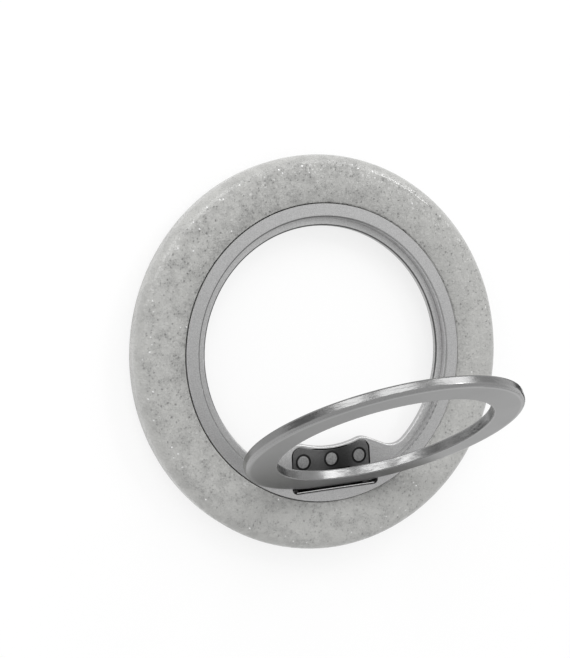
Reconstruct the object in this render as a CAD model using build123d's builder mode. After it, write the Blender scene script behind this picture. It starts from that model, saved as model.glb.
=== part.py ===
"""Magnetic ring holder for the back of a phone: a glitter resin ring over a ring of magnets,
a metal frame that turns inside it, and a finger ring that folds out of the frame on a hinge.

The holder lies on its soft rear pad. The origin is on the ring axis at the resting face, +Z
points out of the front face, and the hinge is at -Y. Sizes are in millimetres.
"""
from build123d import *
import math
import os

# The turning frame's edge, which the rest is built out from, and its height above the resting face
frame_radius = 22.0
front_height = 4.2

# Resin ring
edge_round = 2.0
shoulder_angle = 84.0
crown_rise = 0.5
rear_edge_round = 0.35
inner_edge_round = 0.2
skirt_wall = 0.85

# Layers of the fixed ring, from the rear
pad_thickness = 0.4
pad_setback = 0.5
plate_thickness = 0.5
magnet_thickness = 1.1
shunt_thickness = 0.4
roof_play = 0.05
web_thickness = 0.45
tape_thickness = 0.15
tape_margin = 0.3

# Magnets and their channel
magnet_count = 18
magnet_width = 4.5
magnet_gap = 0.3
housing_wall = 0.5
bearing_wall = 0.5
channel_play = 0.1
glue_gap = 0.05

# Turning frame
flange_width = 0.55
flange_thickness = 0.6
axial_play = 0.1
bearing_clearance = 0.08
swivel_gap = 0.15
rim_width = 2.0
recess_depth = 1.2
ledge_width = 1.15
lip_thickness = 0.8
rear_wall = 1.6
rear_cover_overlap = 1.1
step_edge_round = 0.3
lip_edge_round = 0.25
frame_edge_round = 0.15

# Tab that carries the hinge
tab_reach = 0.9
tab_half_width = 5.3
tab_flank_angle = 24.0
tab_corner_round = 2.5
tab_root_round = 3.2
boss_depth = 0.8
boss_margin = 0.6

# Hinge
hinge_inset = 0.45
pin_radius = 0.4
pin_clearance = 0.05
leaf_thickness = 0.3
leaf_drop = 0.02
knuckle_radius = 1.12
knuckle_half_width = 2.9
side_gap = 0.15
curl_slit = 0.15
curl_play = 0.02
pin_overhang = 0.35
barrel_clearance = 0.1
slot_end_gap = 0.4
slot_corner_round = 0.8
slot_wall_gap = 0.3
slot_inner_gap = 0.15
slot_floor_gap = 0.2
slot_edge_chamfer = 0.08

# Pocket and rivets
pocket_rim = 0.35
pocket_half_width = 6.45
pocket_corner_round = 1.5
pocket_gap = 0.2
leaf_edge_round = 0.08
knuckle_relief = 0.3
rivet_pitch = 4.6
rivet_inset = 1.95
rivet_count = 3
rivet_head_radius = 0.9
rivet_head_height = 0.12
rivet_shank_radius = 0.6
rivet_tail_height = 0.25
rivet_well_radius = 1.2
rivet_hole_play = 0.05

# Finger ring
ring_edge_gap = 0.7
ring_band = 4.4
ring_thickness = 1.5
ring_seat_gap = 0.05
ring_front_round = 0.5
ring_bore_round = 0.15
ring_rear_round = 0.25
open_angle = 62.5

# Heights worked out from the layers
plate_bottom = pad_thickness
plate_top = plate_bottom + plate_thickness
shunt_bottom = plate_top + magnet_thickness
channel_roof = shunt_bottom + shunt_thickness + roof_play
web_top = channel_roof + web_thickness
tape_top = web_top + tape_thickness
flange_bottom = plate_top + axial_play
flange_top = flange_bottom + flange_thickness
ledge_height = front_height - recess_depth
lip_bottom = ledge_height - lip_thickness
boss_bottom = lip_bottom - boss_depth
side_height = front_height + crown_rise - edge_round

# Radii worked out from the walls
bearing_radius = frame_radius + bearing_clearance
flange_radius = frame_radius + flange_width
groove_radius = flange_radius + swivel_gap
channel_inner_radius = groove_radius + bearing_wall
magnet_inner_radius = channel_inner_radius + channel_play
magnet_outer_radius = magnet_inner_radius + magnet_width
channel_outer_radius = magnet_outer_radius + channel_play
housing_radius = channel_outer_radius + housing_wall
skirt_inner_radius = housing_radius + glue_gap
outer_radius = skirt_inner_radius + skirt_wall
resin_inner_radius = frame_radius + swivel_gap
rear_inner_radius = frame_radius - rear_cover_overlap
rear_wall_radius = frame_radius - rear_wall
step_radius = frame_radius - rim_width
hole_radius = step_radius - ledge_width
ring_outer_radius = step_radius - ring_edge_gap
ring_inner_radius = ring_outer_radius - ring_band
tab_radius = ring_inner_radius - tab_reach
rivet_reach = tab_radius + rivet_inset
hinge_reach = ring_outer_radius - hinge_inset

# Hinge axis and what turns round it
axis_y = -hinge_reach
leaf_top = ledge_height - leaf_drop
leaf_bottom = leaf_top - leaf_thickness
axis_z = leaf_top + pin_radius
barrel_radius = pin_radius + leaf_thickness
leaf_half_width = pocket_half_width - pocket_gap
barrel_start = knuckle_half_width + side_gap
barrel_end = leaf_half_width
barrel_width = barrel_end - barrel_start
pin_half_length = barrel_end + pin_overhang
slot_half_length = pin_half_length + slot_end_gap
ring_rear_height = ledge_height + ring_seat_gap - axis_z
ring_front_height = ring_rear_height + ring_thickness
slot_lower_y = axis_y - ring_front_height - slot_wall_gap
slot_upper_y = axis_y + knuckle_radius + slot_inner_gap
slot_floor = axis_z - knuckle_radius - slot_floor_gap
slot_centre_y = (slot_lower_y + slot_upper_y) / 2
slot_width = slot_upper_y - slot_lower_y

# The finger ring is drawn on a plane through the hinge axis, tilted by its opening angle
open_radians = math.radians(open_angle)
ring_plane = Plane(
    origin=(0, axis_y, axis_z),
    x_dir=(1, 0, 0),
    z_dir=(0, -math.sin(open_radians), math.cos(open_radians)),
)
rivet_places = [((i - (rivet_count - 1) / 2) * rivet_pitch, -rivet_reach) for i in range(rivet_count)]


os.makedirs("parts", exist_ok=True)

# Glitter resin ring: a poured cap with a domed face, a rounded shoulder and a skirt round the housing
with BuildPart() as glitter_ring:
    with BuildSketch(Plane.XZ) as resin_section:
        with BuildLine():
            shoulder = JernArc((outer_radius, side_height), (0, 1), edge_round, shoulder_angle)
            TangentArc(shoulder @ 1, (resin_inner_radius, front_height), tangent=shoulder % 1)
            Polyline(
                (resin_inner_radius, front_height),
                (resin_inner_radius, tape_top),
                (skirt_inner_radius, tape_top),
                (skirt_inner_radius, pad_thickness),
                (outer_radius, pad_thickness),
                (outer_radius, side_height),
            )
        make_face()
        rear_corner = resin_section.vertices().group_by(Axis.Y)[0].sort_by(Axis.X)[-1]
        fillet(rear_corner, rear_edge_round)
        face_corner = resin_section.vertices().group_by(Axis.X)[0].sort_by(Axis.Y)[-1]
        fillet(face_corner, inner_edge_round)
    revolve(axis=Axis.Z)
glitter_ring.part.label = "glitter_ring"
export_step(glitter_ring.part, "parts/glitter_ring.step")

# Adhesive tape between the housing and the resin
with BuildPart() as bonding_tape:
    with BuildSketch(Plane.XY.offset(web_top)):
        Circle(housing_radius - tape_margin)
        Circle(bearing_radius + tape_margin, mode=Mode.SUBTRACT)
    extrude(amount=tape_thickness)
bonding_tape.part.label = "bonding_tape"
export_step(bonding_tape.part, "parts/bonding_tape.step")

# Moulded housing: a channel for the magnets and the bearing wall that holds the frame's flange
with BuildPart() as base_housing:
    with BuildSketch(Plane.XZ):
        with BuildLine():
            Polyline(
                (bearing_radius, flange_top + axial_play),
                (groove_radius, flange_top + axial_play),
                (groove_radius, plate_top),
                (channel_inner_radius, plate_top),
                (channel_inner_radius, channel_roof),
                (channel_outer_radius, channel_roof),
                (channel_outer_radius, plate_top),
                (housing_radius, plate_top),
                (housing_radius, web_top),
                (bearing_radius, web_top),
                close=True,
            )
        make_face()
    revolve(axis=Axis.Z)
base_housing.part.label = "base_housing"
export_step(base_housing.part, "parts/base_housing.step")

# Steel ring that closes the magnets' field on the front side
with BuildPart() as shunt_ring:
    with BuildSketch(Plane.XY.offset(shunt_bottom)):
        Circle(magnet_outer_radius)
        Circle(magnet_inner_radius, mode=Mode.SUBTRACT)
    extrude(amount=shunt_thickness)
shunt_ring.part.label = "shunt_ring"
export_step(shunt_ring.part, "parts/shunt_ring.step")

# Arc magnets side by side in the channel
magnet_pitch = 360 / magnet_count
magnet_arc = magnet_pitch - math.degrees(magnet_gap / magnet_inner_radius)
for index in range(magnet_count):
    magnet_name = f"magnet_{index + 1:02d}"
    start_angle = index * magnet_pitch - magnet_arc / 2
    with BuildPart() as magnet:
        with BuildSketch(Plane.XY.offset(plate_top)):
            with BuildLine():
                inner_arc = CenterArc((0, 0), magnet_inner_radius, start_angle, magnet_arc)
                outer_arc = CenterArc((0, 0), magnet_outer_radius, start_angle, magnet_arc)
                Line(inner_arc @ 0, outer_arc @ 0)
                Line(inner_arc @ 1, outer_arc @ 1)
            make_face()
        extrude(amount=magnet_thickness)
    magnet.part.label = magnet_name
    export_step(magnet.part, f"parts/{magnet_name}.step")

# Rear plate: closes the magnet channel and traps the frame's flange
with BuildPart() as rear_plate:
    with BuildSketch(Plane.XY.offset(plate_bottom)):
        Circle(housing_radius)
        Circle(rear_inner_radius, mode=Mode.SUBTRACT)
    extrude(amount=plate_thickness)
rear_plate.part.label = "rear_plate"
export_step(rear_plate.part, "parts/rear_plate.step")

# Soft pad that meets the phone
with BuildPart() as rear_pad:
    with BuildSketch():
        Circle(outer_radius - pad_setback)
        Circle(rear_inner_radius, mode=Mode.SUBTRACT)
    extrude(amount=pad_thickness)
rear_pad.part.label = "rear_pad"
export_step(rear_pad.part, "parts/rear_pad.step")


def tab_face(inner_radius, outer_radius):
    """Fill the tab's outline: an inner arc that follows the finger ring, and two sloping flanks."""
    slope = math.radians(tab_flank_angle)
    corner_y = -math.sqrt(inner_radius**2 - tab_half_width**2)
    along = tab_half_width * math.cos(slope) - corner_y * math.sin(slope)
    flank_length = math.sqrt(along**2 - inner_radius**2 + outer_radius**2) - along
    end_x = tab_half_width + flank_length * math.cos(slope)
    end_y = corner_y - flank_length * math.sin(slope)
    with BuildSketch() as outline:
        with BuildLine():
            ThreePointArc((-tab_half_width, corner_y), (0, -inner_radius), (tab_half_width, corner_y))
            Line((tab_half_width, corner_y), (end_x, end_y))
            ThreePointArc((end_x, end_y), (0, -outer_radius), (-end_x, end_y))
            Line((-end_x, end_y), (-tab_half_width, corner_y))
        make_face()
    return outline.sketch


def plate_face(edge_radius, half_width, lower_y, corner_round):
    """Fill the outline shared by the hinge pocket and the leaf that lies in it."""
    corner_y = -math.sqrt(edge_radius**2 - half_width**2)
    with BuildSketch() as outline:
        with BuildLine():
            ThreePointArc((-half_width, corner_y), (0, -edge_radius), (half_width, corner_y))
            Polyline((half_width, corner_y), (half_width, lower_y), (-half_width, lower_y), (-half_width, corner_y))
        make_face()
        fillet(outline.vertices().group_by(Axis.Y)[-1], corner_round)
    return outline.sketch


# Turning frame: a stepped ring with a flange, a ledge for the closed finger ring and the hinge tab
pocket_outline = plate_face(tab_radius + pocket_rim, pocket_half_width, slot_centre_y, pocket_corner_round)

with BuildPart() as inner_frame:
    with BuildSketch(Plane.XZ) as frame_section:
        with BuildLine():
            Polyline(
                (hole_radius, lip_bottom),
                (rear_wall_radius, lip_bottom),
                (rear_wall_radius, flange_bottom),
                (flange_radius, flange_bottom),
                (flange_radius, flange_top),
                (frame_radius, flange_top),
                (frame_radius, front_height),
                (step_radius, front_height),
                (step_radius, ledge_height),
                (hole_radius, ledge_height),
                close=True,
            )
        make_face()
        front_corners = frame_section.vertices().group_by(Axis.Y)[-1].sort_by(Axis.X)
        fillet(front_corners[0], step_edge_round)
        fillet(front_corners[1], frame_edge_round)
    revolve(axis=Axis.Z)
    # Tab, level with the ledge
    with BuildSketch(Plane.XY.offset(lip_bottom)) as tab_outline:
        Circle(rear_wall_radius)
        Circle(hole_radius, mode=Mode.SUBTRACT)
        add(tab_face(tab_radius, (hole_radius + rear_wall_radius) / 2))
        tab_corners = tab_outline.vertices().filter_by(lambda corner: corner.Y < -tab_half_width)
        fillet(tab_corners.sort_by(Axis.Y)[-2:], tab_corner_round)
        tab_roots = tab_outline.vertices().filter_by(
            lambda corner: corner.Y < -tab_half_width
            and abs(math.hypot(corner.X, corner.Y) - hole_radius) < pin_clearance
        )
        fillet(tab_roots, tab_root_round)
    extrude(amount=lip_thickness)
    # Boss under the tab that takes the hinge and the rivet tails
    with BuildSketch(Plane.XY.offset(boss_bottom)):
        add(tab_face(tab_radius + boss_margin, frame_radius - rear_wall / 2))
    extrude(amount=boss_depth)
    # Rounded inner edge of the ledge, all round the hole and the tab, but not the step's foot
    ledge_edges = inner_frame.edges().filter_by_position(Axis.Z, ledge_height, ledge_height)
    fillet(ledge_edges.sort_by(SortBy.LENGTH)[:-1], lip_edge_round)
    # Pocket for the leaf, and the slot that the knuckle turns in
    with BuildSketch(Plane.XY.offset(leaf_bottom)):
        add(pocket_outline)
    extrude(amount=recess_depth, mode=Mode.SUBTRACT)
    with BuildSketch(Plane.XY.offset(slot_floor)):
        with Locations((0, slot_centre_y)):
            RectangleRounded(2 * slot_half_length, slot_width, slot_corner_round)
    extrude(amount=front_height, mode=Mode.SUBTRACT)
    with BuildSketch(Plane.XY.offset(front_height)):
        with Locations((0, slot_centre_y)):
            RectangleRounded(
                2 * (slot_half_length + slot_edge_chamfer),
                slot_width + 2 * slot_edge_chamfer,
                slot_corner_round + slot_edge_chamfer,
            )
    extrude(amount=-slot_edge_chamfer, taper=45, mode=Mode.SUBTRACT)
    # Rivet holes through the tab
    with BuildSketch(Plane.XY.offset(boss_bottom)):
        with Locations(rivet_places):
            Circle(rivet_shank_radius + rivet_hole_play)
    extrude(amount=recess_depth + boss_depth, mode=Mode.SUBTRACT)
inner_frame.part.label = "inner_frame"
export_step(inner_frame.part, "parts/inner_frame.step")

# Hinge leaf: a spring plate riveted into the pocket, curled round the pin on both sides of the knuckle
leaf_notch_y = axis_y + knuckle_radius + knuckle_relief
leaf_outline = plate_face(
    tab_radius + pocket_rim + pocket_gap,
    leaf_half_width,
    leaf_notch_y,
    pocket_corner_round - pocket_gap,
)
barrel_centre = (barrel_start + barrel_end) / 2

with BuildPart() as hinge_leaf:
    with BuildSketch(Plane.XY.offset(leaf_bottom)):
        add(leaf_outline)
    extrude(amount=leaf_thickness)
    top_edges = hinge_leaf.faces().sort_by(Axis.Z)[-1].edges()
    fillet(top_edges.sort_by(Axis.Y)[-3:], leaf_edge_round)
    with BuildSketch(Plane.XY.offset(leaf_bottom)):
        with Locations((barrel_centre, (axis_y + leaf_notch_y) / 2), (-barrel_centre, (axis_y + leaf_notch_y) / 2)):
            Rectangle(barrel_width, leaf_notch_y - axis_y)
    extrude(amount=leaf_thickness)
    with BuildSketch(Plane.XY.offset(leaf_top)):
        with Locations(rivet_places):
            Circle(rivet_well_radius)
    extrude(amount=-rivet_head_height, mode=Mode.SUBTRACT)
    with BuildSketch(Plane.XY.offset(leaf_bottom)):
        with Locations(rivet_places):
            Circle(rivet_shank_radius + rivet_hole_play)
    extrude(amount=leaf_thickness, mode=Mode.SUBTRACT)
    for curl_start in (barrel_start, -barrel_end):
        with BuildSketch(Plane.YZ.offset(curl_start)):
            with Locations((axis_y, axis_z)):
                Circle(barrel_radius)
                Circle(pin_radius + curl_play, mode=Mode.SUBTRACT)
            with Locations((axis_y + barrel_radius / 2, leaf_top + curl_slit / 2)):
                Rectangle(barrel_radius, curl_slit, mode=Mode.SUBTRACT)
        extrude(amount=barrel_width)
hinge_leaf.part.label = "hinge_leaf"
export_step(hinge_leaf.part, "parts/hinge_leaf.step")

# Hinge pin
with BuildPart() as hinge_pin:
    with BuildSketch(Plane.YZ.offset(-pin_half_length)):
        with Locations((axis_y, axis_z)):
            Circle(pin_radius)
    extrude(amount=2 * pin_half_length)
    chamfer(hinge_pin.edges().filter_by(GeomType.CIRCLE), pin_radius / 4)
hinge_pin.part.label = "hinge_pin"
export_step(hinge_pin.part, "parts/hinge_pin.step")

# Three rivets that clamp the leaf to the tab: a flat head in its well, a shank and a set tail
with BuildPart() as hinge_rivets:
    with BuildSketch(Plane.XY.offset(leaf_top)):
        with Locations(rivet_places):
            Circle(rivet_head_radius)
    extrude(amount=-rivet_head_height)
    with BuildSketch(Plane.XY.offset(boss_bottom)):
        with Locations(rivet_places):
            Circle(rivet_shank_radius)
    extrude(amount=leaf_top - rivet_head_height - boss_bottom)
    with BuildSketch(Plane.XY.offset(boss_bottom)):
        with Locations(rivet_places):
            Circle(rivet_head_radius)
    extrude(amount=-rivet_tail_height)
hinge_rivets.part.label = "hinge_rivets"
export_step(hinge_rivets.part, "parts/hinge_rivets.step")

# Finger ring: a flat band with rounded edges, a knuckle on the pin, and room for the leaf's barrels
ring_normal = Axis(ring_plane.origin, ring_plane.z_dir)
groove_end = barrel_end + side_gap

with BuildPart() as finger_ring:
    with BuildSketch(ring_plane.offset(ring_rear_height)):
        with Locations((0, hinge_reach)):
            Circle(ring_outer_radius)
            Circle(ring_inner_radius, mode=Mode.SUBTRACT)
    extrude(amount=ring_thickness)
    flat_faces = finger_ring.faces().filter_by(GeomType.PLANE).sort_by(ring_normal)
    fillet(flat_faces[-1].edges().sort_by(SortBy.LENGTH)[-1], ring_front_round)
    flat_faces = finger_ring.faces().filter_by(GeomType.PLANE).sort_by(ring_normal)
    fillet(flat_faces[-1].edges().sort_by(SortBy.LENGTH)[0], ring_bore_round)
    flat_faces = finger_ring.faces().filter_by(GeomType.PLANE).sort_by(ring_normal)
    fillet(flat_faces[0].edges(), ring_rear_round)
    for groove_start in (knuckle_half_width, -groove_end):
        with BuildSketch(Plane.YZ.offset(groove_start)):
            with Locations((axis_y, axis_z)):
                Circle(barrel_radius + barrel_clearance)
        extrude(amount=groove_end - knuckle_half_width, mode=Mode.SUBTRACT)
    with BuildSketch(Plane.YZ.offset(-knuckle_half_width)):
        with Locations((axis_y, axis_z)):
            Circle(knuckle_radius)
    extrude(amount=2 * knuckle_half_width)
    with BuildSketch(Plane.YZ.offset(-knuckle_half_width)):
        with Locations((axis_y, axis_z)):
            Circle(pin_radius + pin_clearance)
    extrude(amount=2 * knuckle_half_width, mode=Mode.SUBTRACT)
finger_ring.part.label = "finger_ring"
export_step(finger_ring.part, "parts/finger_ring.step")
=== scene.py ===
"""Finishes, light and camera for a phone ring holder.

The holder is a flat round base with a glitter resin face. A metal frame turns inside it
and carries a finger ring on a riveted hinge. All lengths are in metres in the row frame:
the face looks along +Z, the hinge lies at -Y, and the rear pad stands on the floor.
"""

import math

import bpy
from mathutils import Matrix, Vector


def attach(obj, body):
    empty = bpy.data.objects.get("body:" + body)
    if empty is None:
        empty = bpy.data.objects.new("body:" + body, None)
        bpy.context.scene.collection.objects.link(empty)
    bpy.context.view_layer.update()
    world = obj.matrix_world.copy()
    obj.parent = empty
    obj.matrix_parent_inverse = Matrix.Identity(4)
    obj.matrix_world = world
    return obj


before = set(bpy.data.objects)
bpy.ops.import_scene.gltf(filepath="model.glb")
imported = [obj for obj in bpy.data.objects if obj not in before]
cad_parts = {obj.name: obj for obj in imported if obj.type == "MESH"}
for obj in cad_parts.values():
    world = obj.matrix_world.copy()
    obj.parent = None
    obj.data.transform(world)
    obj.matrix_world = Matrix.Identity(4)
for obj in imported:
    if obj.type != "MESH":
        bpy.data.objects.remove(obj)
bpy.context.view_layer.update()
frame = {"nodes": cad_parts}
MM = 0.001

# What the finishes follow on the solids: distances from the holder's axis, then heights
HOLE_RADIUS = 18.85 * MM
STEP_RADIUS = 20.0 * MM
FRAME_RADIUS = 22.0 * MM
RESIN_BORE = 22.15 * MM
RESIN_RADIUS = 29.3 * MM
LEDGE_HEIGHT = 3.0 * MM
FACE_HEIGHT = 4.2 * MM
# The inside of the pocket and the slot, painted near black as shade: below a height, from a line
# on, to each side, and within a distance from the holder's axis
POCKET_TOP = 2.7 * MM
POCKET_STARTS, POCKET_HALF, POCKET_REACH = 14.2 * MM, 7 * MM, 21 * MM
# The finger ring: its pin, how far it stands open, and the middle and half width of its band
PIN_AT = (0, -18.85 * MM, 3.38 * MM)
RING_OPEN = math.radians(62.5)
RING_RISE = (0, math.cos(RING_OPEN), math.sin(RING_OPEN))
RING_FRONT = (0, -math.sin(RING_OPEN), math.cos(RING_OPEN))
PIN_TO_MIDDLE = 18.85 * MM
BAND_RADIUS, BAND_HALF = 17.1 * MM, 2.2 * MM
# The rivets: from one to the next, from the holder's axis to their row, and the wells' radius
RIVET_PITCH, RIVET_ROW, RIVET_WELL = 4.6 * MM, 15.95 * MM, 1.23 * MM
# How far the floor lies under the rear pad
FLOOR_DROP = 0.05 * MM

bl_info = {
    "name": "Phone Ring Holder",
    "version": (1, 0, 0),
    "blender": (4, 5, 0),
    "location": "3D View > Sidebar > Ring Holder",
    "description": "Finishes, light and camera for a phone ring holder with a glitter resin face",
    "category": "Object",
}


def colour(name, description, value):
    """A colour that a user can change, as red, green and blue shares of light."""
    return bpy.props.FloatVectorProperty(
        name=name, description=description, default=value, subtype="COLOR", size=3, min=0, max=1)


def length(name, description, millimetres):
    """A length that a user can change."""
    return bpy.props.FloatProperty(
        name=name, description=description, default=millimetres * MM, unit="LENGTH", min=0,
        precision=5)


def share(name, description, value, top=1.0):
    """A plain number from 0 up that a user can change."""
    return bpy.props.FloatProperty(
        name=name, description=description, default=value, min=0, max=top)


class ResinSettings(bpy.types.PropertyGroup):
    """Glitter resin on the face of the base."""

    light: colour("Resin", "Pale grey of the resin between its flecks", (0.465, 0.465, 0.451))
    deep: colour("Deeper resin", "Grey where more flecks lie under the surface", (0.37, 0.37, 0.36))
    fleck: colour("Fleck", "Dark side of a glitter flake", (0.15, 0.15, 0.147))
    # Painted glint: near white on a few flakes, standing in for the highlights they catch
    painted_glint: colour("Spark", "A flake that faces the light", (0.95, 0.95, 0.95))
    fleck_size: length("Fleck size", "Distance from one dark fleck to the next", 0.34)
    dust_size: length("Dust size", "Distance from one grain of glitter dust to the next", 0.15)
    glint_size: length("Spark size", "Distance from one bright flake to the next", 0.5)
    gloss: share("Gloss", "Strength of the clear top coat", 0.45)


class MetalSettings(bpy.types.PropertyGroup):
    """Satin and polished metal."""

    frame: colour("Frame", "Satin metal of the turning frame", (0.53, 0.53, 0.53))
    # Painted shade: the dark colour of the lines on the frame's rounds, not a different metal
    edge_shade: colour("Turned walls", "Darker metal of its walls and edges", (0.22, 0.22, 0.22))
    ring: colour("Finger ring", "Metal of the finger ring", (0.24, 0.24, 0.24))
    leaf: colour("Hinge leaf", "Dark spring steel of the hinge leaf", (0.12, 0.12, 0.12))
    pin: colour("Pin", "Steel of the hinge pin", (0.60, 0.60, 0.60))
    # Painted light: the wire's steel is lighter than the pin's, so that the wire shows bright in
    # the slot's shade
    wire: colour("Slot wire", "Bright steel of the wire in the slot", (0.90, 0.90, 0.90))
    rivet: colour("Rivet", "Steel of the rivets", (0.40, 0.40, 0.40))
    grain: length("Grain", "Distance from one grain of the satin finish to the next", 0.16)


class RearSettings(bpy.types.PropertyGroup):
    """Moulded and soft pieces behind the face."""

    housing: colour("Housing", "Moulded plastic that holds the magnets", (0.36, 0.36, 0.36))
    plate: colour("Rear plate", "Plastic plate that closes the rear", (0.42, 0.42, 0.42))
    pad: colour("Rear pad", "Soft pad that touches the phone", (0.45, 0.45, 0.45))
    tape: colour("Tape", "Tape that holds the resin face on", (0.6, 0.6, 0.58))


class InsideSettings(bpy.types.PropertyGroup):
    """Magnets and the steel ring above them, which the resin hides."""

    magnet: colour("Magnet", "Nickel plating of the magnets", (0.62, 0.61, 0.58))
    shunt: colour("Steel ring", "Cold rolled steel over the magnets", (0.42, 0.42, 0.43))


class WireSettings(bpy.types.PropertyGroup):
    """Bright wire in the slot under the finger ring."""

    thickness: length("Thickness", "Thickness of the wire", 0.17)
    half_length: length("Half length", "From the middle of the wire to the middle of a leg", 6.5)
    setback: length("Setback", "From the holder's axis to the wire", 20.14)
    height: length("Height", "Middle of the wire above the floor", 4.08)
    bend: length("Bend", "Radius of the bend at each end", 0.16)
    foot: length("Foot", "Height of the slot's floor, where the legs stand", 2.06)


class StageSettings(bpy.types.PropertyGroup):
    """Floor, lamps and camera."""

    floor: colour("Floor", "White floor", (0.98, 0.98, 0.98))
    glow: share("Floor glow", "How much of the floor's own white the camera sees", 0.75)
    reach: length("Floor reach", "Half the side of the floor", 3000)
    sky: share("Room light", "Strength of the even light from all round", 0.75, 4)
    lamps: share("Lamps", "Strength of the lamps against their usual level", 1.0, 4)
    distance: length("Camera distance", "From the middle of the view to the camera", 155)
    lens: bpy.props.FloatProperty(
        name="Lens", description="Focal length", default=58.5, unit="CAMERA")


class Value:
    """A socket's value, with the arithmetic that a material is written in."""

    def __init__(self, finish, socket):
        self.finish, self.socket = finish, socket

    def __add__(self, other):
        return self.finish.maths("ADD", self, other)

    def __sub__(self, other):
        return self.finish.maths("SUBTRACT", self, other)

    def __rsub__(self, other):
        return self.finish.maths("SUBTRACT", other, self)

    def __mul__(self, other):
        return self.finish.maths("MULTIPLY", self, other)

    def __truediv__(self, other):
        return self.finish.maths("DIVIDE", self, other)

    def __pow__(self, other):
        return self.finish.maths("POWER", self, other)

    def __abs__(self):
        return self.finish.maths("ABSOLUTE", self, 0)

    def __gt__(self, other):
        return self.finish.maths("GREATER_THAN", self, other)

    def __lt__(self, other):
        return self.finish.maths("LESS_THAN", self, other)

    __radd__ = __add__


class Finish:
    """The nodes of one material."""

    def __init__(self, name):
        self.material = bpy.data.materials.new(name)
        self.material.use_nodes = True
        self.tree = self.material.node_tree
        self.tree.nodes.clear()

    def node(self, kind, settings=None, inputs=None, output=0):
        """One node of any kind: its settings first, then the values or links of its sockets."""
        made = self.tree.nodes.new(kind)
        for key, value in (settings or {}).items():
            setattr(made, key, value)
        for key, value in (inputs or {}).items():
            if isinstance(value, Value):
                self.tree.links.new(value.socket, made.inputs[key])
            else:
                made.inputs[key].default_value = value
        return Value(self, made.outputs[output]) if len(made.outputs) else None

    def maths(self, operation, a, b):
        """One Math node, for numbers."""
        return self.node("ShaderNodeMath", {"operation": operation}, {0: a, 1: b})

    def place(self):
        """A point of the piece in the row frame."""
        return self.node("ShaderNodeTexCoord", output="Object")

    def vector(self, operation, a, b=(0, 0, 0), output=0):
        """One Vector Math node, for colours and directions."""
        return self.node("ShaderNodeVectorMath", {"operation": operation}, {0: a, 1: b}, output)

    def mix(self, share_of_b, a, b):
        """Colour a where share_of_b is 0 and colour b where it is 1."""
        a, b = (x if isinstance(x, Value) else (*x, 1) for x in (a, b))
        return self.node("ShaderNodeMix", {"data_type": "RGBA"}, {0: share_of_b, 6: a, 7: b}, 2)

    def step(self, value, low, high):
        """0 below low, 1 above high, and a smooth rise between."""
        return self.node(
            "ShaderNodeMapRange", {"interpolation_type": "SMOOTHSTEP"},
            {"Value": value, "From Min": low, "From Max": high})

    def noise(self, size, detail=3, rough=0.55, place=None, output="Fac"):
        """Cloudy pattern whose patches are about size apart."""
        where = place or self.place()
        return self.node(
            "ShaderNodeTexNoise", {},
            {"Vector": where, "Scale": 1 / size, "Detail": detail, "Roughness": rough}, output)

    def cells(self, size, output, place):
        """Random cells about size across."""
        return self.node(
            "ShaderNodeTexVoronoi", {"feature": "F1"}, {"Vector": place, "Scale": 1 / size}, output)

    def part(self, vector, axis):
        """One coordinate of a vector."""
        return self.node("ShaderNodeSeparateXYZ", {}, {0: vector}, axis)

    def along(self, vector, direction):
        """How far a vector reaches in one direction."""
        return self.vector("DOT_PRODUCT", vector, direction, 1)

    def reach(self, vector):
        """Distance of a point from the holder's axis."""
        return self.vector("LENGTH", self.vector("MULTIPLY", vector, (1, 1, 0)), output=1)

    def scale(self, colour, factor):
        """A colour made lighter or darker."""
        colour = colour if isinstance(colour, Value) else tuple(colour)
        return self.node(
            "ShaderNodeVectorMath", {"operation": "SCALE"}, {0: colour, "Scale": factor})

    def bump(self, height):
        """Normals of a surface that rises by height, in metres."""
        return self.node("ShaderNodeBump", {}, {"Height": height, "Distance": 1.0, "Strength": 1.0})

    def close(self, **sockets):
        """Ends the material in one surface shader."""
        inputs = {key.replace("_", " ").title().replace("Ior", "IOR"): value
                  for key, value in sockets.items()}
        surface = self.node("ShaderNodeBsdfPrincipled", {}, inputs)
        self.node("ShaderNodeOutputMaterial", {}, {"Surface": surface})
        return self.material


def wear(material, *names):
    """Gives a finish to CAD nodes."""
    for name in names:
        slots = frame["nodes"][name].data.materials
        slots.clear()
        slots.append(material)


def satin(f, tone, grain, roughness, spread, metallic=1.0, relief=0.004, waves=0):
    """Blasted metal or moulded plastic: fine grains that differ in shade, gloss and height.

    The grains differ in shade by spread, and stand up by relief, in millimetres.
    """
    fine = f.noise(grain, 2)
    broad = f.noise(6 * MM, 2)
    return f.close(
        base_color=f.scale(tone, 1 - spread - broad * 0.1 + f.step(fine, 0.25, 0.75) * 2 * spread),
        metallic=metallic,
        roughness=roughness - 0.06 + fine * 0.08 + broad * 0.05,
        normal=f.bump(fine * relief * MM + waves))


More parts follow.
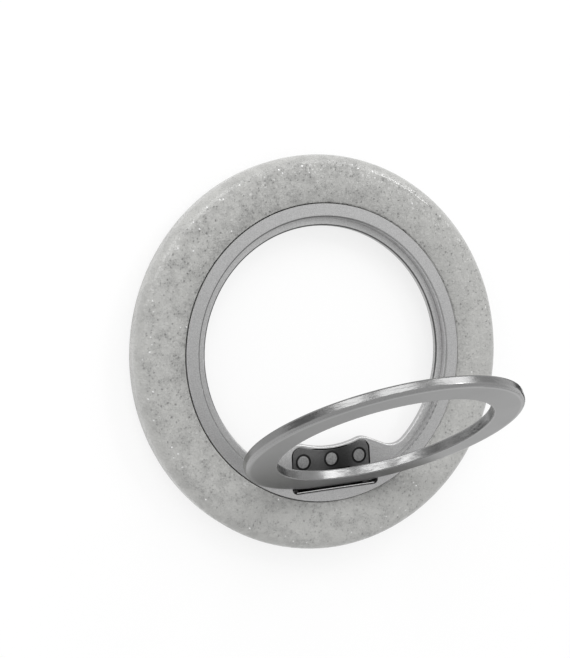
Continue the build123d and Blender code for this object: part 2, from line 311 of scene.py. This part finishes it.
class HOLDER_OT_resin(bpy.types.Operator):
    """Gives the resin face its flecks, painted glints and clear top coat, with painted shade
    towards the frame and painted light towards the right
    """

    bl_idname = "holder.resin"
    bl_label = "Glitter resin"

    def execute(self, context):
        s = context.scene.holder_resin
        f = Finish("glitter_resin")
        place = f.place()
        cloud = f.noise(2.2 * MM, 3, 0.6)
        # Painted light from the right: fewer flecks, less deep resin and fewer glints towards the
        # right
        right_light_fade = 1 - f.step(f.part(place, 0), 0, 24 * MM) * 0.6
        crowd = f.step(cloud, 0.40, 0.66) * right_light_fade
        reach = f.reach(place)
        base = f.mix(crowd * 0.7, s.light, s.deep)
        # Painted shade darkens the resin towards the frame, and painted light lightens the wall of
        # the bore
        bore = 1 - f.step(reach, RESIN_BORE + 0.01 * MM, RESIN_BORE + 0.09 * MM)
        inward = f.step(reach, RESIN_BORE - 0.25 * MM, RESIN_BORE + 2.45 * MM)
        base = f.scale(base, inward * 0.13 + bore * 0.5 + 0.88)
        # Irregular flakes: cells over a point that is pushed about by a fine noise
        push = f.vector("SUBTRACT", f.noise(0.22 * MM, 1, output="Color"), (0.5, 0.5, 0.5))
        ragged = f.vector("ADD", place, f.scale(push, 0.24 * MM))
        kind = f.cells(s.fleck_size, "Color", ragged)
        near = f.cells(s.fleck_size, "Distance", ragged)
        under_face = 1 - f.step(reach, RESIN_RADIUS - 1.3 * MM, RESIN_RADIUS - 0.6 * MM)
        chosen = f.part(kind, 0) > 0.96 - right_light_fade * 0.07 - crowd * 0.42
        fleck = chosen * (1 - f.step(near, 0.14, 0.70))
        fleck = fleck * (f.part(kind, 1) * 0.6 + 0.25) * under_face
        # They lie deeper towards the hinge, so they show less there
        fleck = fleck * (f.step(f.part(place, 1), -26 * MM, 2 * MM) * 0.35 + 0.65)
        # Glitter dust between the flecks
        dust_kind = f.cells(s.dust_size, "Color", ragged)
        dust = f.step(f.part(dust_kind, 2), 0.55, 1.0) * (crowd * 0.20 + 0.12)
        # Painted glints: a few flakes are painted near white, most of them on the shoulder, where
        # the lamps' highlights fall
        glint_kind = f.cells(s.glint_size, "Color", ragged)
        shoulder = f.step(reach, RESIN_RADIUS - 2.9 * MM, RESIN_RADIUS - 1.9 * MM) * right_light_fade
        painted_glint = (f.part(glint_kind, 1) > 0.982 - shoulder * 0.12) * (
            1 - f.step(f.cells(s.glint_size, "Distance", ragged), 0.14, 0.32)) * under_face
        # Each flake lies a little tilted under the surface
        tilt = f.vector("SUBTRACT", kind, (0.5, 0.5, 0.5))
        away = f.vector("SUBTRACT", place, f.cells(s.fleck_size, "Position", ragged))
        facet = f.vector("DOT_PRODUCT", tilt, away, 1)
        # The top coat thins out towards the outer edge
        coated = 1 - f.step(reach, RESIN_RADIUS - 1.3 * MM, RESIN_RADIUS - 0.5 * MM) * 0.6
        shade = f.mix(dust * under_face, f.mix(fleck, base, s.fleck), s.fleck)
        wear(f.close(
            base_color=f.mix(painted_glint, shade, s.painted_glint),
            metallic=painted_glint * 0.3,
            roughness=0.28 - fleck * 0.06 - painted_glint * 0.1,
            specular_ior_level=0.5,
            coat_weight=coated * s.gloss,
            coat_roughness=0.07,
            normal=f.bump(facet * 0.36 + f.noise(0.5 * MM, 2) * 0.02 * MM)), "glitter_ring")
        return {"FINISHED"}


class HOLDER_OT_frame(bpy.types.Operator):
    """Gives the turning frame its satin flats, painted shade lines on its rounds and in its pocket,
    and painted light on its step wall, ledge and outer rim
    """

    bl_idname = "holder.frame"
    bl_label = "Turning frame"

    def execute(self, context):
        s = context.scene.holder_metal
        f = Finish("frame_metal")
        place = f.place()
        reach, height = f.reach(place), f.part(place, 2)
        across, hinge_side = abs(f.part(place, 0)), 0 - f.part(place, 1)
        # 1 away from the hinge and 0 beside it
        fade = 1 - f.step(hinge_side, 3 * MM, 12 * MM)
        # The painted shade line on the step's round is weaker at the right, away from the hinge
        line = 1 - f.step(f.part(place, 0), 2 * MM, 14 * MM) * fade * 0.6
        # Painted shade on the step's round, and painted light on the step's wall
        from_step, on_step = abs(reach - STEP_RADIUS), height > LEDGE_HEIGHT + 0.06 * MM
        from_round = abs(reach - STEP_RADIUS - 0.12 * MM)
        step_edge_shade = (1 - f.step(from_round, 0.07 * MM, 0.15 * MM)) * on_step
        step_wall_light = (1 - f.step(from_step, 0.01 * MM, 0.05 * MM)) * on_step
        # Painted light: the ledge is lighter, most of all at the lower right
        ledge = (reach < STEP_RADIUS - 0.1 * MM) * (abs(height - LEDGE_HEIGHT) < 0.035 * MM)
        lower_right = f.step(f.part(place, 0) + hinge_side, -14 * MM, 10 * MM)
        # Painted shade: the lip round the hole has a dark line of its own
        on_lip = (height > LEDGE_HEIGHT - 0.5 * MM) * fade
        lip = (1 - f.step(abs(reach - HOLE_RADIUS - 0.11 * MM), 0.06 * MM, 0.12 * MM)) * on_lip
        # Painted shade: the pocket's floor and walls and the slot are painted near black
        in_pocket = (height < POCKET_TOP) * (hinge_side > POCKET_STARTS)
        pocket = in_pocket * (across < POCKET_HALF) * (reach < POCKET_REACH)
        tone = f.mix(ledge * (lower_right * 0.8 + 0.2), s.frame, [c * 1.2 for c in s.frame])
        tone = f.mix(step_wall_light * fade, tone, [c * 1.5 for c in s.frame])
        tone = f.mix(step_edge_shade * line, tone, s.edge_shade)
        # Painted light: the frame's outer wall, in the gap to the resin, is painted lighter
        rim_light = f.step(reach, FRAME_RADIUS - 0.07 * MM, FRAME_RADIUS - 0.01 * MM)
        rim_light = rim_light * (height < FACE_HEIGHT - 0.1 * MM)
        tone = f.mix(rim_light, tone, [min(c * 1.8, 0.95) for c in s.frame])
        tone = f.mix(lip, tone, [c * 0.6 for c in s.edge_shade])
        tone = f.mix(pocket, tone, (0.02, 0.02, 0.02))
        wear(satin(f, tone, s.grain, roughness=0.42, spread=0.14), "inner_frame")
        return {"FINISHED"}


class HOLDER_OT_finger_ring(bpy.types.Operator):
    """Gives the finger ring satin faces, smoother walls, a faint grain that runs round it, a
    painted sheen on its outer rounding and painted light on its inner wall
    """

    bl_idname = "holder.finger_ring"
    bl_label = "Finger ring"

    def execute(self, context):
        s = context.scene.holder_metal
        f = Finish("ring_metal")
        # Across the open ring, up its face, and out of its front
        from_pin = f.vector("SUBTRACT", f.place(), PIN_AT)
        side, up = f.part(from_pin, 0), f.along(from_pin, RING_RISE) - PIN_TO_MIDDLE
        depth = f.along(from_pin, RING_FRONT)
        radius = (side * side + up * up) ** 0.5
        wall_starts, wall_ends = BAND_HALF - 0.35 * MM, BAND_HALF - 0.05 * MM
        wall = f.step(abs(radius - BAND_RADIUS), wall_starts, wall_ends)
        inner = f.step(BAND_RADIUS - radius, wall_starts, wall_ends)
        # Painted sheen: the rounding between the front and the outer wall is painted brighter
        outside = BAND_RADIUS + BAND_HALF
        edge = f.step(depth + radius, outside + 0.3 * MM, outside + 0.6 * MM)
        edge = edge * f.step(depth, 0.6 * MM, 0.8 * MM)
        # The grain keeps its pattern through the wall and is drawn out along it
        round_it = f.node("ShaderNodeCombineXYZ", {}, {
            0: side / radius * 6 * MM, 1: up / radius * 6 * MM, 2: depth})
        streak = f.noise(0.5 * MM, 2, 0.5, round_it)
        # Painted sheen on the rounding and painted light on the inner wall
        tone = f.scale(s.ring, edge * 0.4 + inner * 0.2 + 1)
        roughness = 0.30 - wall * 0.08 + inner * 0.03
        waves = wall * streak * 0.03 * MM
        wear(satin(f, tone, s.grain, roughness, spread=0.05, relief=0.003, waves=waves),
             "finger_ring")
        return {"FINISHED"}


class HOLDER_OT_hinge(bpy.types.Operator):
    """Gives the hinge leaf, its pin and its rivets their finishes, with painted shade and light
    across the leaf and painted shade in the rivets' wells
    """

    bl_idname = "holder.hinge"
    bl_label = "Hinge"

    def execute(self, context):
        s = context.scene.holder_metal
        f = Finish("leaf_steel")
        place = f.place()
        # Folding x twice, at half the rivets' pitch, lays all three rivets on one point
        across = abs(abs(f.part(place, 0)) - RIVET_PITCH / 2) - RIVET_PITCH / 2
        along = f.part(place, 1) + RIVET_ROW
        well_shade = (across * across + along * along) ** 0.5 < RIVET_WELL
        # Painted shade and light: the leaf is painted darkest just right of its middle and lightest
        # at its right end
        band = f.step(abs(f.part(place, 0) - 1.9 * MM), 0.4 * MM, 4.5 * MM)
        right = f.step(f.part(place, 0), 0, 5 * MM)
        plate = f.scale(s.leaf, band * 0.9 + right * 0.45 + 0.35)
        # Painted shade: the wells round the rivets are painted near black
        tone = f.mix(well_shade, plate, (0.035, 0.035, 0.035))
        wear(satin(f, tone, s.grain, roughness=0.36, spread=0.16), "hinge_leaf")
        pin = satin(Finish("pin_steel"), s.pin, s.grain, roughness=0.22, spread=0.05)
        wear(pin, "hinge_pin")
        rivet = satin(
            Finish("rivet_steel"), s.rivet, 0.3 * MM, roughness=0.42, spread=0.22, relief=0.012)
        wear(rivet, "hinge_rivets")
        return {"FINISHED"}


class HOLDER_OT_slot_wire(bpy.types.Operator):
    """Lays a bright steel wire along the slot, with its legs on the slot's floor"""

    bl_idname = "holder.slot_wire"
    bl_label = "Slot wire"

    def execute(self, context):
        s = context.scene.holder_wire
        bend, at = s.bend, (0, -s.setback, s.height)
        bpy.ops.object.select_all(action="DESELECT")
        bpy.ops.mesh.primitive_circle_add(
            vertices=16, radius=s.thickness / 2, location=at, rotation=(0, math.radians(90), 0))
        wire = context.object
        wire.name = "slot_wire"
        bpy.ops.object.transform_apply(location=True, rotation=True, scale=True)
        bpy.ops.object.mode_set(mode="EDIT")
        bpy.ops.mesh.select_all(action="SELECT")
        bpy.ops.mesh.extrude_region_move(
            TRANSFORM_OT_translate={"value": (s.half_length - bend, 0, 0)})
        bpy.ops.mesh.spin(
            steps=6, angle=math.radians(90), center=(s.half_length - bend, at[1], at[2] - bend),
            axis=(0, 1, 0))
        bpy.ops.mesh.extrude_region_move(
            TRANSFORM_OT_translate={"value": (0, 0, s.foot - at[2] + bend)})
        bpy.ops.mesh.edge_face_add()
        bpy.ops.object.mode_set(mode="OBJECT")
        mirror = wire.modifiers.new("mirror", "MIRROR")
        bpy.ops.object.modifier_apply(modifier=mirror.name)
        bpy.ops.object.mode_set(mode="EDIT")
        bpy.ops.mesh.select_all(action="SELECT")
        bpy.ops.mesh.remove_doubles(threshold=1e-7)
        bpy.ops.mesh.normals_make_consistent(inside=False)
        bpy.ops.object.mode_set(mode="OBJECT")
        bpy.ops.object.shade_smooth_by_angle(angle=math.radians(50))
        # The wire's steel is painted lighter than the pin's, as painted light in the slot's shade
        steel = context.scene.holder_metal.wire
        finish = satin(Finish("wire_steel"), steel, 0.1 * MM, roughness=0.26, spread=0.06)
        wire.data.materials.append(finish)
        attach(wire, "frame")
        return {"FINISHED"}


class HOLDER_OT_rear(bpy.types.Operator):
    """Gives the moulded housing, the rear plate, the pad and the tape their finishes"""

    bl_idname = "holder.rear"
    bl_label = "Rear"

    def execute(self, context):
        s = context.scene.holder_rear
        # Finish, node, colour, grain in millimetres, roughness, spread and relief
        rows = (
            ("housing_plastic", "base_housing", s.housing, 0.3, 0.5, 0.04, 0.004),
            ("rear_plastic", "rear_plate", s.plate, 0.3, 0.55, 0.04, 0.004),
            ("soft_pad", "rear_pad", s.pad, 0.12, 0.8, 0.08, 0.01),
            ("adhesive_tape", "bonding_tape", s.tape, 0.5, 0.6, 0.05, 0.004))
        for finish, node, tone, grain, roughness, spread, relief in rows:
            wear(satin(Finish(finish), tone, grain * MM, roughness, spread, 0.0, relief), node)
        return {"FINISHED"}


class HOLDER_OT_inside(bpy.types.Operator):
    """Gives the magnets and the steel ring over them their finishes"""

    bl_idname = "holder.inside"
    bl_label = "Magnets"

    def execute(self, context):
        s = context.scene.holder_inside
        magnets = [name for name in frame["nodes"] if name.startswith("magnet_")]
        plating = satin(Finish("magnet_plating"), s.magnet, 0.2 * MM, roughness=0.25, spread=0.03)
        wear(plating, *magnets)
        steel = satin(Finish("shunt_steel"), s.shunt, 0.25 * MM, roughness=0.35, spread=0.06)
        wear(steel, "shunt_ring")
        return {"FINISHED"}


# What the camera looks at, and how it is turned, tipped and rolled away from straight above
CAMERA_TARGET = Vector((-6.84, 4.07, 4.2)) * MM
CAMERA_YAW, CAMERA_PITCH, CAMERA_ROLL = (math.radians(a) for a in (-22.62, 3.5, -3.23))
LAMPS = (
    # name, place as metres from the holder, side lengths, power
    ("lamp_left", (-0.617, 0.557, 0.346), (0.27, 0.45), 1.25),
    ("lamp_back", (-0.135, 0.680, 0.572), (0.46, 0.38), 1.70),
    ("lamp_right", (0.490, 0.580, 0.470), (0.50, 0.34), 1.50),
    ("lamp_high", (0.576, 0.333, 0.606), (0.16, 0.10), 0.55),
)
CARDS = (
    # name, low corner and sides in millimetres, shade
    ("card_left", (-100, -5, 0), (0, 57, 44), 0.35),
    ("card_right", (48.5, -26, 0.2), (30, 42, 0), 0.03),
)


class HOLDER_OT_stage(bpy.types.Operator):
    """Adds the floor, the lamps, the dark cards that the metal reflects, and the camera"""

    bl_idname = "holder.stage"
    bl_label = "Stage"

    def execute(self, context):
        s = context.scene.holder_stage
        scene = context.scene
        scene.view_settings.view_transform = "Standard"
        bpy.ops.object.select_all(action="DESELECT")
        bpy.ops.mesh.primitive_plane_add(size=2 * s.reach, location=(0, 0, -FLOOR_DROP))
        bpy.ops.object.transform_apply(location=True, rotation=True, scale=True)
        floor = context.object
        floor.name = "floor"
        floor.data.materials.append(self.floor_finish(s))
        self.room_light(scene, s)
        for name, at, sides, power in LAMPS:
            lamp = bpy.data.lights.new(name, "AREA")
            lamp.shape, lamp.size, lamp.size_y = "RECTANGLE", *sides
            lamp.energy = power * s.lamps
            holder = bpy.data.objects.new(name, lamp)
            holder.location = at
            holder.rotation_euler = (-Vector(at)).to_track_quat("-Z", "Y").to_euler()
            scene.collection.objects.link(holder)
        for name, corner, sides, shade in CARDS:
            standing = sides[0] == 0
            bpy.ops.object.select_all(action="DESELECT")
            bpy.ops.mesh.primitive_plane_add(
                size=1, location=[(c + d / 2) * MM for c, d in zip(corner, sides)],
                rotation=(0, math.radians(90) if standing else 0, 0))
            card = context.object
            card.name = name
            card.scale = ((sides[2] if standing else sides[0]) * MM, sides[1] * MM, 1)
            bpy.ops.object.transform_apply(location=True, rotation=True, scale=True)
            card.visible_diffuse = card.visible_shadow = False
            card.data.materials.append(self.card_finish(name, shade))
        self.camera(scene, s)
        return {"FINISHED"}

    def card_finish(self, name, shade):
        """Matt felt, a little mottled."""
        f = Finish(name)
        felt = f.scale((shade, shade, shade), f.noise(2 * MM) * 0.4 + 0.8)
        return f.close(base_color=felt, roughness=0.9, specular_ior_level=0.0)

    def floor_finish(self, s):
        """White where the camera and polished pieces see it, and plain paint for other light."""
        f = Finish("floor")
        seen = [f.node("ShaderNodeLightPath", output="Is " + ray + " Ray")
                for ray in ("Camera", "Glossy", "Transmission")]
        white = f.maths("MINIMUM", seen[0] + seen[1] + seen[2], 1.0) * s.glow
        paint = f.node("ShaderNodeBsdfDiffuse", {}, {"Color": (*s.floor, 1)})
        glow = f.node("ShaderNodeEmission", {}, {"Strength": 1.0})
        both = f.node("ShaderNodeMixShader", {}, {0: white, 1: paint, 2: glow})
        f.node("ShaderNodeOutputMaterial", {}, {"Surface": both})
        return f.material

    def room_light(self, scene, s):
        """Even white light from all round."""
        world = bpy.data.worlds.new("room")
        scene.world = world
        world.use_nodes = True
        world.node_tree.nodes["Background"].inputs["Color"].default_value = (1, 1, 1, 1)
        world.node_tree.nodes["Background"].inputs["Strength"].default_value = s.sky

    def camera(self, scene, s):
        """Looks at the face from a little to the left."""
        back = Vector((
            math.sin(CAMERA_YAW) * math.cos(CAMERA_PITCH), math.sin(CAMERA_PITCH),
            math.cos(CAMERA_YAW) * math.cos(CAMERA_PITCH)))
        across = (-back).cross(Vector((0, 1, 0))).normalized()
        up = across.cross(-back)
        turn, lean = math.cos(CAMERA_ROLL), math.sin(CAMERA_ROLL)
        right, top = turn * across + lean * up, turn * up - lean * across
        data = bpy.data.cameras.new("camera")
        data.lens, data.sensor_width = s.lens, 36
        data.clip_start, data.clip_end = 0.01, 20
        eye = bpy.data.objects.new("camera", data)
        eye.matrix_world = Matrix.Translation(CAMERA_TARGET + back * s.distance) @ Matrix(
            (right, top, back)).transposed().to_4x4()
        scene.collection.objects.link(eye)
        scene.camera = eye


class HOLDER_PT_panel(bpy.types.Panel):
    """Lists the holder's pieces, sizes and colours"""

    bl_label = "Ring Holder"
    bl_idname = "HOLDER_PT_panel"
    bl_space_type = "VIEW_3D"
    bl_region_type = "UI"
    bl_category = "Ring Holder"

    def draw(self, context):
        for group, operators in PANEL_ROWS:
            settings = getattr(context.scene, group)
            box = self.layout.box()
            for name in settings.bl_rna.properties.keys():
                if name not in ("name", "rna_type"):
                    box.prop(settings, name)
            for operator in operators:
                box.operator(operator)


SETTINGS = {
    "holder_resin": ResinSettings,
    "holder_metal": MetalSettings,
    "holder_rear": RearSettings,
    "holder_inside": InsideSettings,
    "holder_wire": WireSettings,
    "holder_stage": StageSettings,
}
PANEL_ROWS = (
    ("holder_resin", ("holder.resin",)),
    ("holder_metal", ("holder.frame", "holder.finger_ring", "holder.hinge")),
    ("holder_rear", ("holder.rear",)),
    ("holder_inside", ("holder.inside",)),
    ("holder_wire", ("holder.slot_wire",)),
    ("holder_stage", ("holder.stage",)),
)
CLASSES = (
    *SETTINGS.values(), HOLDER_OT_resin, HOLDER_OT_frame, HOLDER_OT_finger_ring, HOLDER_OT_hinge,
    HOLDER_OT_rear, HOLDER_OT_inside, HOLDER_OT_slot_wire, HOLDER_OT_stage, HOLDER_PT_panel)


def register():
    for each in CLASSES:
        bpy.utils.register_class(each)
    for name, group in SETTINGS.items():
        setattr(bpy.types.Scene, name, bpy.props.PointerProperty(type=group))


def unregister():
    for name in SETTINGS:
        delattr(bpy.types.Scene, name)
    for each in reversed(CLASSES):
        bpy.utils.unregister_class(each)


def main():
    register()
    bpy.ops.holder.resin()
    bpy.ops.holder.frame()
    bpy.ops.holder.finger_ring()
    bpy.ops.holder.hinge()
    bpy.ops.holder.rear()
    bpy.ops.holder.inside()
    bpy.ops.holder.slot_wire()
    bpy.ops.holder.stage()


if __name__ == "__main__":
    main()
